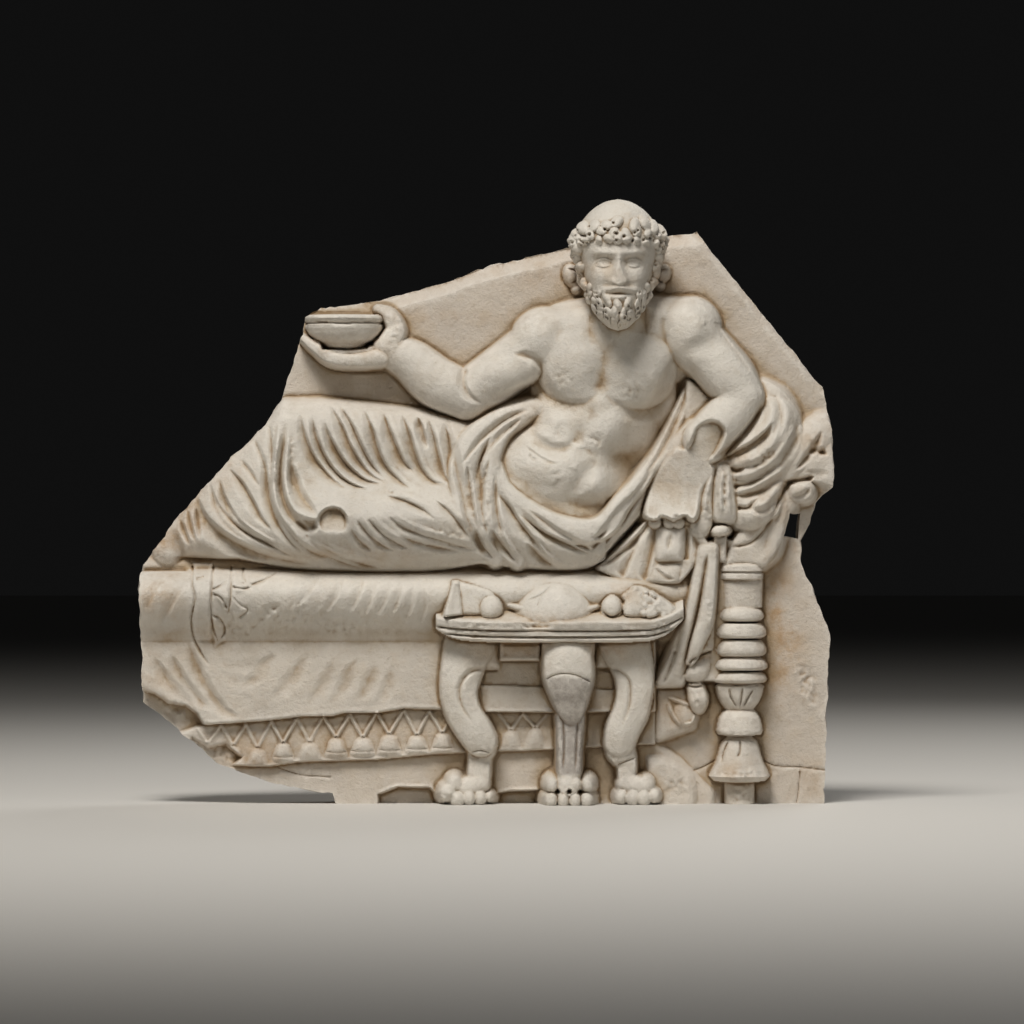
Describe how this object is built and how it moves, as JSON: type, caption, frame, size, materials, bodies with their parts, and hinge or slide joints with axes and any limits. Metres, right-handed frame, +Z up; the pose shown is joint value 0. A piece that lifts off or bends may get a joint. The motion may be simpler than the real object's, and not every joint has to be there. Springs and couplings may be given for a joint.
{
  "type": "votive relief fragment",
  "caption": "Broken marble votive relief of a bearded figure reclining on a cushioned couch, bowl in raised hand, behind a small lion-footed table with food.",
  "frame": {"origin": "middle of the bounding box in plan, on the flat underside the fragment stands on", "axes": "+Z up, +X to the right of someone facing the carved side, carved side looks along -Y, flat back along +Y"},
  "size_m": [0.627, 0.1322, 0.546],
  "materials": {
    "marble": "weathered, matt, with ochre and brown patina in the hollows"
  },
  "bodies": {
    "root": {"relief_fragment": "marble"}
  },
  "joints": []
}
